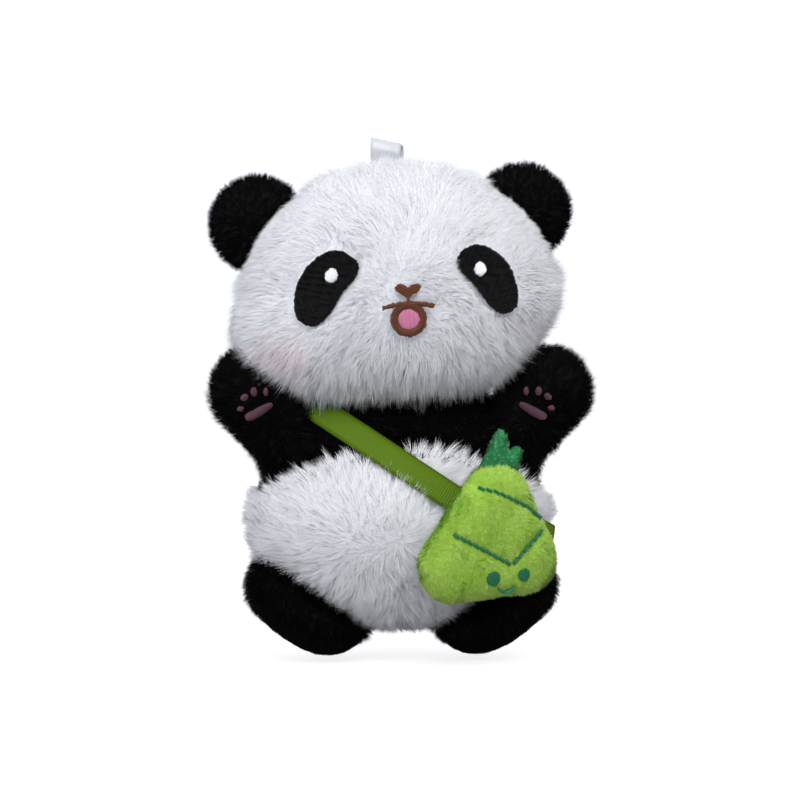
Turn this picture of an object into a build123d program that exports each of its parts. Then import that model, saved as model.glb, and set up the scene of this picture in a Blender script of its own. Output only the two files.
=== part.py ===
from build123d import *
import os
from math import asin, atan2, cos, degrees, hypot, radians, sin

# Plush panda key charm with a crossbody bag. Millimetres, +Z up, front towards -Y, z = 0 under the feet.
# "left" and "right" are the panda's own sides, so its left side is at +X.
# Every soft piece is drawn as a closed solid at its true outer size, pile included.

# ---- driving dimensions ----
GAP = 0.05                      # air between pieces that touch
BODY_Y = 6.5                    # the body stands this far back, so the origin is midway from bag to back
WHITE_SKIN = 4.0                # white long-pile plush, cloth and pile together
BLACK_SKIN = 2.5                # black short-pile plush

HEAD_RADII = (39.0, 25.0, 29.0)
HEAD_Z = 86.8
HEAD_ROLL = 2.7                 # the head leans, its left side a little higher
HEAD_TOP_Z = 115.2              # flattened seat under the ribbon loop
NECK_PIVOT_Z = 60.5
NECK_BALL_R = 7.0
NECK_STEM_R = 6.0
NECK_STEM_Z = 50.0

TORSO_RADII = (36.5, 23.0, 27.5)
TORSO_Z = 31.5
CHEST_ARCH_TOP = 51.4           # lower edge of the black chest band, at the middle
CHEST_ARCH_END = (32.0, 42.0)
COLLAR_R = 14.5
COLLAR_Z = 55.0

EAR_RADII = (11.2, 4.8, 11.2)
EAR_AT = (32.0, 6.0, 16.4)      # from the head centre, in the head's own frame
EAR_OFFSET_X = -0.9
EAR_SKIN = 1.8
EAR_CLEARANCE = 1.3

SHOULDER = (28.0, 49.5)
SHOULDER_R = 7.2
PAW = (33.8, 62.0)
PAW_R = 11.8
ARM_FLATTEN = 0.8
ARM_Y = -2.5
ARM_CLEARANCE = 0.6
CHEEK_CARVE = (41.5, 31.0, 30.5)
PAD_SHIFT = {"left": -2.9, "right": 2.9}
PAD_TOES = [(30.2, 62.4, 0.60, 1.25, 0), (33.0, 62.4, 0.90, 1.25, -8), (35.2, 61.1, 1.10, 0.85, -35),
            (36.1, 58.4, 0.85, 0.80, 0)]
PAD_MAIN = ((29.2, 59.0), (34.4, 56.5), 1.1)

LEG_RADII = (16.2, 13.0, 12.2)
LEG_AT = (21.5, -1.5, 13.0)
LEG_TILT = 30.0
LEG_SOCKET = (0.6, 2.3, 0.6)

EYE_X = 18.7
EYE_OUTLINE = [(3.8, 8.2), (6.9, 6.0), (7.1, 3.2), (3.0, -1.6), (-0.3, -6.2), (-3.6, -8.3),
               (-6.6, -6.6), (-7.0, -3.2), (-6.1, 1.2), (-3.6, 5.2), (0.2, 7.9)]
GLINT_AT = (1.8, 2.6)
GLINT_RADII = (1.5, 1.7)
STITCH_THICK = 0.6              # embroidery laid on the face
GLINT_THICK = 0.4

STRAP_WIDE = 6.0
STRAP_THICK = 0.65
STRAP_LIFT = 0.1
STRAP_FRONT_END = (12.0, 37.8)
STRAP_FRONT_SLOPE = 33.4
STRAP_BACK_MID = (8.75, 42.2)
STRAP_BACK_SLOPE = 29.0

BAG_AT = (15.8, -22.4, 30.0)    # middle of the bag's back face
BAG_TURN = 14.0
BAG_THICK = 13.0
BAG_CORNERS = [(2.0, 9.0, 8.5), (-7.6, -6.5, 9.0), (8.2, -5.0, 8.7)]
BAG_ROUND = 5.0
BAG_SKIN = 1.5

LOOP_X = -2.5
LOOP_R = 1.8
LOOP_THICK = 0.5
LOOP_WIDE = 6.0
LOOP_Z = HEAD_TOP_Z + 0.6 + LOOP_R + LOOP_THICK

HEAD_PLACE = Location((0, 0, HEAD_Z), (0, -HEAD_ROLL, 0))
SIDES = {"left": 1, "right": -1}

os.makedirs("parts", exist_ok=True)


def export(piece, label):
    """Writes a finished piece, moved from the body's own frame to the toy's."""
    placed = Location((0, BODY_Y, 0)) * piece
    placed.label = label
    export_step(placed, f"parts/{label}.step")


def ellipsoid(radii, grow=0.0):
    """Ellipsoid about the origin; grow is a number, or one number per axis."""
    more = grow if isinstance(grow, tuple) else (grow, grow, grow)
    rx, ry, rz = (r + g for r, g in zip(radii, more))
    with BuildPart() as body:
        with BuildSketch():
            Ellipse(rx, ry)
            with Locations((0, -ry)):
                Rectangle(4 * rx, 2 * ry, mode=Mode.SUBTRACT)
        revolve(axis=Axis.X)
        scale(by=(1, 1, rz / ry))
    return body.part


def keep_half(front, seam_y=0.0):
    """Split the current part at its seam plane, leaving the sewing gap."""
    if front:
        split(bisect_by=Plane.XZ.offset(-seam_y + GAP / 2), keep=Keep.TOP)
    else:
        split(bisect_by=Plane.XZ.offset(-seam_y - GAP / 2), keep=Keep.BOTTOM)


def largest(piece):
    return piece.solids().sort_by(SortBy.VOLUME)[-1]


# ---- head ----
neck_socket = Location((0, 0, NECK_PIVOT_Z)) * Sphere(NECK_BALL_R + 0.5)
loop_slot = Location((LOOP_X, 0, HEAD_TOP_Z - 2.5)) * Box(LOOP_WIDE + 0.2, 1.4, 5.6)
crown_cut = Location((0, 0, HEAD_TOP_Z + 10)) * Box(60, 60, 20)


def head_layer(grow):
    return HEAD_PLACE * ellipsoid(HEAD_RADII, grow)


def eye_face(side):
    """Outline of one embroidered eye patch, flat, in the head's own frame seen from the front."""
    with BuildSketch() as patch:
        with BuildLine():
            Spline([(side * (EYE_X - x), z) for x, z in EYE_OUTLINE], periodic=True)
        make_face()
    return patch.sketch


def nose_face():
    with BuildSketch() as heart:
        with BuildLine():
            Spline([(0, -0.25), (-1.5, 0.3), (-2.8, -0.8), (-1.7, -2.4), (0, -3.2)])
            Spline([(0, -0.25), (1.5, 0.3), (2.8, -0.8), (1.7, -2.4), (0, -3.2)])
        make_face()
    return heart.sketch


def below_lip(drop=0.0):
    """Everything under the lower edge of the upper-lip stitch line."""
    with BuildSketch() as zone:
        with BuildLine():
            ThreePointArc((-6.1, -5.9 - drop), (0, -4.9 - drop), (6.1, -5.9 - drop))
            Polyline((6.1, -5.9 - drop), (6.1, -14), (-6.1, -14), (-6.1, -5.9 - drop))
        make_face()
    return zone.sketch


def mouth_face():
    with BuildSketch() as mouth:
        with Locations((0, -6)):
            Ellipse(4.3, 5.8)
        add(below_lip(), mode=Mode.INTERSECT)
        with Locations((0, -6)):
            Ellipse(3.0, 4.3, mode=Mode.SUBTRACT)
        with BuildLine():
            ThreePointArc((-6.1, -5.9), (0, -4.9), (6.1, -5.9))
            Line((6.1, -5.9), (6.2, -4.9))
            ThreePointArc((6.2, -4.9), (0, -3.75), (-6.2, -4.9))
            Line((-6.2, -4.9), (-6.1, -5.9))
        make_face()
        with Locations((0, -3.7)):
            Rectangle(0.7, 0.8)
    return mouth.sketch


def tongue_face():
    with BuildSketch() as tongue:
        with Locations((0, -6)):
            Ellipse(3.0 - GAP, 4.3 - GAP)
        add(below_lip(GAP), mode=Mode.INTERSECT)
    return tongue.sketch


def stitched(outline, thick, lift=GAP):
    """Embroidery: an outline laid on the front of the head, following its curve."""
    with BuildPart() as patch:
        extrude(Plane.XZ * outline, amount=HEAD_RADII[1] + 2)
        add(ellipsoid(HEAD_RADII, lift + thick), mode=Mode.INTERSECT)
        add(ellipsoid(HEAD_RADII, lift), mode=Mode.SUBTRACT)
    return HEAD_PLACE * patch.part


head_outer = head_layer(0)
head_inner = head_layer(-WHITE_SKIN)

with BuildPart() as head_stuffing:
    add(head_layer(-WHITE_SKIN - GAP))
    add(neck_socket, mode=Mode.SUBTRACT)
    add(loop_slot, mode=Mode.SUBTRACT)
export(head_stuffing.part, "head_stuffing")

with BuildPart() as head_back_panel:
    add(head_outer)
    add(head_inner, mode=Mode.SUBTRACT)
    keep_half(front=False)
    add(neck_socket, mode=Mode.SUBTRACT)
    add(loop_slot, mode=Mode.SUBTRACT)
    add(crown_cut, mode=Mode.SUBTRACT)
export(head_back_panel.part, "head_back_panel")

with BuildPart() as face_panel:
    add(head_outer)
    add(head_inner, mode=Mode.SUBTRACT)
    keep_half(front=True)
    add(neck_socket, mode=Mode.SUBTRACT)
    add(loop_slot, mode=Mode.SUBTRACT)
    add(crown_cut, mode=Mode.SUBTRACT)
export(face_panel.part, "face_panel")

for name, side in SIDES.items():
    export(stitched(eye_face(side), STITCH_THICK), f"eye_patch_{name}")
    with BuildSketch() as glint:
        with Locations((side * (EYE_X - GLINT_AT[0]), GLINT_AT[1])):
            Ellipse(*GLINT_RADII)
    export(stitched(glint.sketch, GLINT_THICK, STITCH_THICK + 2 * GAP), f"eye_glint_{name}")

export(stitched(nose_face(), STITCH_THICK + 0.3), "nose")
export(stitched(mouth_face(), STITCH_THICK), "mouth_outline")
export(stitched(tongue_face(), STITCH_THICK - 0.1), "tongue")

# ---- ribbon loop on the crown ----
with BuildPart() as loop_tab:
    with Locations((LOOP_X, 0, HEAD_TOP_Z - 2.4)):
        Box(LOOP_WIDE, 1.2, 5.2)
export(loop_tab.part, "loop_tab")

with BuildPart() as hanging_loop:
    with Locations(Location((LOOP_X, 0, LOOP_Z), (0, 90, 0))):
        Cylinder(LOOP_R + LOOP_THICK, LOOP_WIDE)
        Cylinder(LOOP_R, LOOP_WIDE, mode=Mode.SUBTRACT)
export(hanging_loop.part, "hanging_loop")

# ---- neck ----
with BuildPart() as neck_stuffing:
    with Locations((0, 0, NECK_PIVOT_Z)):
        Sphere(NECK_BALL_R)
    with Locations((0, 0, NECK_STEM_Z)):
        Cylinder(NECK_STEM_R, 7.0, align=(Align.CENTER, Align.CENTER, Align.MIN))
export(neck_stuffing.part, "neck_stuffing")

# ---- ears ----
head_clear = head_layer(EAR_CLEARANCE)
for name, side in SIDES.items():
    ear_at = (side * EAR_AT[0] + EAR_OFFSET_X, EAR_AT[1], EAR_AT[2])
    ear_place = HEAD_PLACE * Location(ear_at)
    seam_y = EAR_AT[1]
    for face_name, is_front in (("front", True), ("back", False)):
        with BuildPart() as ear_panel:
            add(ear_place * ellipsoid(EAR_RADII))
            add(ear_place * ellipsoid(EAR_RADII, -EAR_SKIN), mode=Mode.SUBTRACT)
            add(head_clear, mode=Mode.SUBTRACT)
            keep_half(is_front, seam_y)
        export(largest(ear_panel.part), f"ear_{name}_{face_name}")
    with BuildPart() as ear_stuffing:
        add(ear_place * ellipsoid(EAR_RADII, -EAR_SKIN - GAP))
        add(head_clear, mode=Mode.SUBTRACT)
    export(largest(ear_stuffing.part), f"ear_{name}_stuffing")


# ---- arms ----
def arm_layer(side, grow=0.0):
    """Tapered capsule from shoulder to paw, flattened front to back."""
    run = (PAW[0] - SHOULDER[0], PAW[1] - SHOULDER[1])
    length = hypot(*run)
    small, big = SHOULDER_R + grow, PAW_R + grow
    lean = asin((big - small) / length)
    nx, ny = -sin(lean), cos(lean)
    with BuildPart() as capsule:
        with BuildSketch(Plane.XY):
            with BuildLine():
                RadiusArc((-small, 0), (small * nx, small * ny), small)
                Line((small * nx, small * ny), (length + big * nx, big * ny))
                RadiusArc((length + big * nx, big * ny), (length + big, 0), big)
                Line((length + big, 0), (-small, 0))
            make_face()
        revolve(axis=Axis.X)
        scale(by=(1, ARM_FLATTEN, 1))
    angle = degrees(atan2(run[1], side * run[0]))
    return Location((side * SHOULDER[0], ARM_Y, SHOULDER[1]), (0, -angle, 0)) * capsule.part


def cheek_carve(grow=0.0):
    return HEAD_PLACE * ellipsoid(CHEEK_CARVE, grow)


def pad_prisms(side, shift, grow=0.0):
    """Main pad and four toes, run out towards the front from the arm's seam plane."""
    start, end, half = PAD_MAIN
    mid = ((start[0] + end[0]) / 2 + shift, (start[1] + end[1]) / 2)
    slope = degrees(atan2(end[1] - start[1], side * (end[0] - start[0])))
    with BuildPart() as prisms:
        with BuildSketch(Plane.XZ.offset(-ARM_Y)):
            with Locations(Location((side * mid[0], mid[1], 0), (0, 0, slope))):
                SlotCenterToCenter(hypot(end[0] - start[0], end[1] - start[1]), 2 * (half + grow))
            for x, z, rx, rz, turn in PAD_TOES:
                with Locations(Location((side * (x + shift), z, 0), (0, 0, side * turn))):
                    Ellipse(rx + grow, rz + grow)
        extrude(amount=20)
    return prisms.part


for name, side in SIDES.items():
    outer = arm_layer(side)
    inner = arm_layer(side, -BLACK_SKIN)
    shift = PAD_SHIFT[name]
    with BuildPart() as hollow:
        add(inner)
        add(cheek_carve(BLACK_SKIN), mode=Mode.SUBTRACT)
    for face_name, is_front in (("front", True), ("back", False)):
        with BuildPart() as arm_panel:
            add(outer)
            add(cheek_carve(), mode=Mode.SUBTRACT)
            add(hollow.part, mode=Mode.SUBTRACT)
            keep_half(is_front, ARM_Y)
            if is_front:
                with BuildPart(mode=Mode.PRIVATE) as pad_pocket:
                    add(pad_prisms(side, shift, 0.1))
                    add(arm_layer(side, -1.3), mode=Mode.SUBTRACT)
                add(pad_pocket.part, mode=Mode.SUBTRACT)
        export(largest(arm_panel.part), f"arm_{name}_{face_name}")
    with BuildPart() as arm_stuffing:
        add(arm_layer(side, -BLACK_SKIN - GAP))
        add(cheek_carve(BLACK_SKIN + GAP), mode=Mode.SUBTRACT)
    export(largest(arm_stuffing.part), f"arm_{name}_stuffing")
    with BuildPart() as paw_pads:
        add(pad_prisms(side, shift))
        add(arm_layer(side, -0.4), mode=Mode.INTERSECT)
        add(arm_layer(side, -1.25), mode=Mode.SUBTRACT)
    export(paw_pads.part, f"paw_pads_{name}")


# ---- legs ----
def leg_layer(side, grow=0.0):
    place = Location((side * LEG_AT[0], LEG_AT[1], LEG_AT[2]), (0, -side * LEG_TILT, 0))
    return place * ellipsoid(LEG_RADII, grow)


for name, side in SIDES.items():
    for face_name, is_front in (("front", True), ("back", False)):
        with BuildPart() as leg_panel:
            add(leg_layer(side))
            add(leg_layer(side, -BLACK_SKIN), mode=Mode.SUBTRACT)
            keep_half(is_front, LEG_AT[1])
            with Locations((0, 0, -10)):
                Box(120, 60, 20, mode=Mode.SUBTRACT)
        export(leg_panel.part, f"leg_{name}_{face_name}")
    export(leg_layer(side, -BLACK_SKIN - GAP), f"leg_{name}_stuffing")

# ---- torso ----
torso_place = Location((0, 0, TORSO_Z))
torso_outer = torso_place * ellipsoid(TORSO_RADII)
torso_inner = torso_place * ellipsoid(TORSO_RADII, -WHITE_SKIN)

with BuildPart() as chest_zone:
    with BuildSketch(Plane.XZ.offset(-40)):
        with BuildLine():
            ThreePointArc((-CHEST_ARCH_END[0], CHEST_ARCH_END[1]), (0, CHEST_ARCH_TOP), CHEST_ARCH_END)
            Polyline(CHEST_ARCH_END, (60, 30), (60, 80), (-60, 80), (-60, 30),
                     (-CHEST_ARCH_END[0], CHEST_ARCH_END[1]))
        make_face()
    extrude(amount=80)

with BuildPart() as belly_zone:
    with Locations((0, 0, 30)):
        Box(120, 80, 120)
    add(Location((0, 0, -GAP)) * chest_zone.part, mode=Mode.SUBTRACT)


def cut_sockets():
    """Room in the current torso piece for the neck, both shoulders and both hips."""
    for side in SIDES.values():
        add(leg_layer(side, LEG_SOCKET), mode=Mode.SUBTRACT)
        add(arm_layer(side, ARM_CLEARANCE), mode=Mode.SUBTRACT)
        with Locations(Location((side * SHOULDER[0], 0, SHOULDER[1]), (90, 0, 0))):
            Cylinder(SHOULDER_R + ARM_CLEARANCE, 60, mode=Mode.SUBTRACT)
    with Locations((0, 0, COLLAR_Z)):
        Cylinder(COLLAR_R, 12, align=(Align.CENTER, Align.CENTER, Align.MIN), mode=Mode.SUBTRACT)
    with Locations((0, 0, NECK_STEM_Z - 0.6)):
        Cylinder(NECK_STEM_R + 0.6, 12, align=(Align.CENTER, Align.CENTER, Align.MIN), mode=Mode.SUBTRACT)


def stuffing_half(front):
    with BuildPart() as half:
        add(torso_place * ellipsoid(TORSO_RADII, -WHITE_SKIN - GAP))
        keep_half(front)
        for side in SIDES.values():
            with Locations((side * LEG_AT[0], LEG_AT[1], LEG_AT[2])):
                Sphere(LEG_RADII[0] + 1, mode=Mode.SUBTRACT)
            with Locations(Location((side * SHOULDER[0], 0, SHOULDER[1]), (90, 0, 0))):
                Cylinder(SHOULDER_R + ARM_CLEARANCE, 60, mode=Mode.SUBTRACT)
        with Locations((0, 0, NECK_STEM_Z - 0.6)):
            Cylinder(NECK_STEM_R + 0.6, 12, align=(Align.CENTER, Align.CENTER, Align.MIN), mode=Mode.SUBTRACT)
    return largest(half.part)


with BuildPart() as torso_stuffing:
    add(stuffing_half(front=True))
    add(stuffing_half(front=False))
export(torso_stuffing.part, "torso_stuffing")

TORSO_PANELS = [("belly_panel", belly_zone, True), ("lower_back_panel", belly_zone, False),
                ("chest_panel", chest_zone, True), ("upper_back_panel", chest_zone, False)]
for label, zone, is_front in TORSO_PANELS:
    with BuildPart() as torso_panel:
        add(torso_outer)
        add(torso_inner, mode=Mode.SUBTRACT)
        add(zone.part, mode=Mode.INTERSECT)
        keep_half(is_front)
        cut_sockets()
    export(largest(torso_panel.part), label)

# ---- shoulder strap, a ribbon round the torso from the right shoulder to the bag ----
with BuildPart() as strap_path:
    run = radians(STRAP_FRONT_SLOPE)
    mid = (STRAP_FRONT_END[0] - 25 * cos(run), STRAP_FRONT_END[1] + 25 * sin(run))
    with Locations(Location((mid[0], -14.5, mid[1]), (0, STRAP_FRONT_SLOPE, 0))):
        Box(50, 30, STRAP_WIDE)
    with Locations(Location((STRAP_BACK_MID[0], 14.5, STRAP_BACK_MID[1]), (0, STRAP_BACK_SLOPE, 0))):
        Box(100, 30, STRAP_WIDE)
    run = radians(STRAP_BACK_SLOPE)
    side_mid = (STRAP_BACK_MID[0] + 29 * cos(run), STRAP_BACK_MID[1] - 29 * sin(run))
    with Locations(Location((side_mid[0], -9.5, side_mid[1]), (0, STRAP_BACK_SLOPE, 0))):
        Box(24, 20, STRAP_WIDE)

with BuildPart() as shoulder_strap:
    add(torso_place * ellipsoid(TORSO_RADII, STRAP_LIFT + STRAP_THICK))
    add(torso_place * ellipsoid(TORSO_RADII, STRAP_LIFT), mode=Mode.SUBTRACT)
    add(strap_path.part, mode=Mode.INTERSECT)
export(largest(shoulder_strap.part), "shoulder_strap")


# ---- bag ----
def bag_frame(depth):
    """Plane facing out of the bag, depth millimetres in front of its back face."""
    turn = radians(BAG_TURN)
    out = (sin(turn), -cos(turn), 0)
    origin = tuple(a + depth * b for a, b in zip(BAG_AT, out))
    return Plane(origin=origin, x_dir=(cos(turn), sin(turn), 0), z_dir=out)


def bag_layer(grow=0.0):
    """Pillow-shaped pouch: the hull of three corner circles with well rounded edges."""
    with BuildPart() as pouch:
        with BuildSketch(Plane.XY.offset(-grow)):
            for x, z, r in BAG_CORNERS:
                with Locations((x, z)):
                    Circle(r + grow)
            make_hull()
        extrude(amount=BAG_THICK + 2 * grow)
        rims = pouch.faces().filter_by(Plane.XY).edges()
        fillet(rims, BAG_ROUND + grow)
    return bag_frame(0).location * pouch.part


def on_bag(sketch):
    """Needlework lying on the front of the bag."""
    with BuildPart() as work:
        extrude(sketch, amount=BAG_THICK, dir=bag_frame(0).z_dir)
        add(bag_layer(0.45), mode=Mode.INTERSECT)
        add(bag_layer(0.03), mode=Mode.SUBTRACT)
    return work.part


bag_outer = bag_layer()
bag_inner = bag_layer(-BAG_SKIN)
for label, keep in (("bag_front", Keep.TOP), ("bag_back", Keep.BOTTOM)):
    half = GAP / 2 if keep == Keep.TOP else -GAP / 2
    with BuildPart() as bag_panel:
        add(bag_outer)
        add(bag_inner, mode=Mode.SUBTRACT)
        split(bisect_by=bag_frame(BAG_THICK / 2 + half), keep=keep)
    export(bag_panel.part, label)
export(bag_layer(-BAG_SKIN - GAP), "bag_stuffing")

with BuildPart() as bag_leaf:
    with BuildSketch(bag_frame(BAG_THICK / 2 - 1.6)):
        with BuildLine():
            Spline([(-1.2, 15.0), (-0.2, 19.5), (3.4, 24.6), (5.6, 21.0), (5.4, 18.8)])
            Spline([(5.4, 18.8), (7.0, 20.2), (8.2, 18.6), (8.0, 14.0)])
            Line((8.0, 14.0), (-1.2, 15.0))
        make_face()
    extrude(amount=3.2)
    add(bag_layer(GAP), mode=Mode.SUBTRACT)
export(largest(bag_leaf.part), "bag_leaf")

SEAM_LINES = [[(-3.6, 11.6), (0.7, 10.6), (4.7, 8.8), (8.2, 7.2), (12.0, 4.4)],
              [(12.2, 1.8), (8.4, -1.6), (4.6, -5.4)],
              [(-9.6, 1.2), (-3.9, -1.7), (4.0, -5.7)]]
with BuildSketch(bag_frame(BAG_THICK / 2)) as seam_marks:
    for points in SEAM_LINES:
        for (ax, az), (bx, bz) in zip(points, points[1:]):
            long = hypot(bx - ax, bz - az)
            marks = max(1, round(long / 3.0))
            for i in range(marks):
                t = (i + 0.5) / marks
                turn = degrees(atan2(bz - az, bx - ax))
                with Locations(Location((ax + t * (bx - ax), az + t * (bz - az), 0), (0, 0, turn))):
                    SlotOverall(2.1, 0.7)
export(on_bag(seam_marks.sketch), "bag_seam_stitches")

with BuildSketch(bag_frame(BAG_THICK / 2)) as bag_eye_marks:
    with Locations((-0.2, -9.0)):
        Circle(1.6)
    with Locations((7.1, -8.3)):
        Circle(1.5)
export(on_bag(bag_eye_marks.sketch), "bag_eyes")

with BuildSketch(bag_frame(BAG_THICK / 2)) as bag_smile_mark:
    with BuildLine():
        ThreePointArc((1.2, -11.6), (3.0, -12.4), (4.9, -11.6))
        Line((4.9, -11.6), (4.9, -12.2))
        ThreePointArc((4.9, -12.2), (3.0, -13.0), (1.2, -12.2))
        Line((1.2, -12.2), (1.2, -11.6))
    make_face()
export(on_bag(bag_smile_mark.sketch), "bag_smile")
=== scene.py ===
import bpy
import math
import numpy as np
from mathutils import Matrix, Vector
from mathutils.kdtree import KDTree


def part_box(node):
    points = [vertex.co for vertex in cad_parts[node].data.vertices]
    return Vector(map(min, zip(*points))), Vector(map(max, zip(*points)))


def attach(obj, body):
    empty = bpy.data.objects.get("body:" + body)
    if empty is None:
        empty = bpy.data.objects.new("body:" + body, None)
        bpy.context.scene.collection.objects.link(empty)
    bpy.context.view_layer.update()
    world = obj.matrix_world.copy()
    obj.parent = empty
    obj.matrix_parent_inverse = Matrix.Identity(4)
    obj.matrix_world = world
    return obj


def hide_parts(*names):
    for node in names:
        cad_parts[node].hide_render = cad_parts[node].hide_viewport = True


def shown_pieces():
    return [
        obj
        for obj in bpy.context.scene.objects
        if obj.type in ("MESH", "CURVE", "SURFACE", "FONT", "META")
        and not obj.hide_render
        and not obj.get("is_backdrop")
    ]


# Plush panda key charm with a green crossbody pouch.
# Lengths below are millimetres; meshes are written in metres.
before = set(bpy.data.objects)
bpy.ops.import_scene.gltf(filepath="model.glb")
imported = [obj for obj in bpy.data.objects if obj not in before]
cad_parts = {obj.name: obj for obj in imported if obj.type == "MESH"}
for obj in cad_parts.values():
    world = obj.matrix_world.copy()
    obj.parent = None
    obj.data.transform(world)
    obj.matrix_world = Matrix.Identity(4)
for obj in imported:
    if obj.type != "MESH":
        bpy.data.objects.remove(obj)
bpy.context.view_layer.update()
MM = 0.001
rng = np.random.default_rng(11)
SIDES = (("left", 1), ("right", -1))

# The body's own frame, used below, has its front-to-back middle at y = 0.
OFFSET = np.array([0.0, sum(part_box("torso_stuffing")[k][1] for k in (0, 1)) / 2 / MM, 0.0])


def node_box(*names):
    """Corners of the box round the CAD nodes, in the body's own frame."""
    lo = np.min([np.array(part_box(n)[0]) for n in names], axis=0) / MM
    hi = np.max([np.array(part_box(n)[1]) for n in names], axis=0) / MM
    return lo - OFFSET, hi - OFFSET


def smooth_step(x):
    """Rises smoothly from 0 at x = 0 to 1 at x = 1."""
    x = np.clip(x, 0, 1)
    return x * x * (3 - 2 * x)


def unit(v):
    return v / np.maximum(np.linalg.norm(v, axis=-1, keepdims=True), 1e-9)


def rot_y(deg):
    """Turns +X towards +Z by deg."""
    a = math.radians(deg)
    return np.array([[math.cos(a), 0, -math.sin(a)], [0, 1, 0], [math.sin(a), 0, math.cos(a)]])


# ---- materials ----
def material(name, color, rough, sheen, spec):
    m = bpy.data.materials.new(name)
    m.use_nodes = True
    b = m.node_tree.nodes["Principled BSDF"]
    b.inputs["Base Color"].default_value = (*color, 1)
    b.inputs["Roughness"].default_value = rough
    b.inputs["Specular IOR Level"].default_value = spec
    b.inputs["Sheen Weight"].default_value = sheen
    b.inputs["Sheen Roughness"].default_value = 0.5
    return m


WHITE = [material("white_pile_a", (0.925, 0.935, 0.965), 0.8, 0.1, 0.1),
         material("white_pile_b", (0.87, 0.88, 0.92), 0.8, 0.1, 0.1),
         material("white_pile_c", (0.965, 0.97, 0.985), 0.8, 0.1, 0.1)]
BLUSH = material("blush_pile", (0.95, 0.80, 0.85), 0.8, 0.1, 0.1)
BLACK = [material("black_pile_a", (0.0020, 0.0020, 0.0023), 0.7, 0.0, 0.04),
         material("black_pile_b", (0.0055, 0.0052, 0.0056), 0.65, 0.0, 0.09)]
# shades of the bag's pile, picked at random; the paler ones also carry the bag's painted sheen
LIME = [material("lime_pile_b", (0.340, 0.570, 0.065), 0.6, 0.1, 0.2),
        material("lime_pile_a", (0.435, 0.680, 0.105), 0.6, 0.1, 0.2),
        material("lime_pile_c", (0.530, 0.745, 0.170), 0.6, 0.1, 0.2)]
LEAF_PILE = [material("leaf_pile_a", (0.022, 0.200, 0.062), 0.8, 0.1, 0.2),
             material("leaf_pile_b", (0.060, 0.330, 0.125), 0.8, 0.2, 0.2)]
WHITE_CLOTH = material("white_cloth", (0.84, 0.85, 0.90), 0.9, 0.1, 0.1)
BLACK_CLOTH = material("black_cloth", (0.0017, 0.0017, 0.0019), 0.9, 0.0, 0.05)
LIME_CLOTH = material("lime_cloth", (0.31, 0.54, 0.055), 0.9, 0.1, 0.1)
LEAF_CLOTH = material("leaf_cloth", (0.02, 0.18, 0.06), 0.9, 0.1, 0.1)
THREAD = {"black": material("black_thread", (0.0040, 0.0040, 0.0044), 0.5, 0.0, 0.18),
          "white": material("white_thread", (0.88, 0.89, 0.93), 0.5, 0.1, 0.3),
          "brown": material("brown_thread", (0.150, 0.050, 0.021), 0.5, 0.1, 0.25),
          "pink": material("pink_thread", (0.66, 0.25, 0.41), 0.5, 0.15, 0.3),
          "mauve": material("mauve_thread", (0.108, 0.042, 0.070), 0.5, 0.1, 0.3),
          "green": material("green_thread", (0.006, 0.150, 0.060), 0.45, 0.1, 0.35)}
RIBBON = material("grosgrain", (0.092, 0.170, 0.0035), 0.55, 0.0, 0.15)
RIBBON_EDGE = material("grosgrain_edge", (0.060, 0.115, 0.003), 0.6, 0.0, 0.15)
# the satin loop is white; its colour is darkened as painted shade, so that the loop shows against the white
# backdrop
SATIN = material("satin_ribbon", (0.60, 0.615, 0.65), 0.34, 0.1, 0.5)
FIBRE = material("fibre_fill", (0.90, 0.90, 0.90), 0.95, 0.2, 0.1)


# ---- mesh building ----
def add_mesh(name, co, faces, mat, normals=None):
    """Mesh object from arrays of points and of equal-sided faces."""
    co = np.asarray((np.asarray(co) + OFFSET) * MM, np.float32)
    faces = np.asarray(faces, np.int32)
    me = bpy.data.meshes.new(name)
    me.vertices.add(len(co))
    me.vertices.foreach_set("co", co.ravel())
    me.loops.add(faces.size)
    me.loops.foreach_set("vertex_index", faces.ravel())
    me.polygons.add(len(faces))
    me.polygons.foreach_set("loop_start", np.arange(len(faces), dtype=np.int32) * faces.shape[1])
    me.update(calc_edges=True)
    me.validate()
    me.materials.append(mat)
    me.polygons.foreach_set("use_smooth", np.ones(len(me.polygons), bool))
    if normals is not None:
        me.normals_split_custom_set_from_vertices(normals.tolist())
    ob = bpy.data.objects.new(name, me)
    bpy.context.scene.collection.objects.link(ob)
    return ob


def grid_faces(nu, nv, close_u=True):
    """Quads of a nu by nv grid of vertices, stored row by row along u."""
    i, j = np.meshgrid(np.arange(nu if close_u else nu - 1), np.arange(nv - 1), indexing="ij")
    k = (i + 1) % nu
    return np.stack([i * nv + j, k * nv + j, k * nv + j + 1, i * nv + j + 1], -1).reshape(-1, 4)


def tube_faces(n, w):
    """Quads of a tube of n sections, each a closed ring of w points."""
    k = np.arange(n - 1) * w
    seam = np.stack([k + w - 1, k + w + w - 1, k + w, k], 1)
    return np.concatenate([grid_faces(n, w, close_u=False), seam])


def place(ob, body, nodes=()):
    """Puts a piece on its body and hides the CAD nodes that it stands for."""
    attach(ob, body)
    if nodes:
        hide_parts(*nodes)


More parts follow.
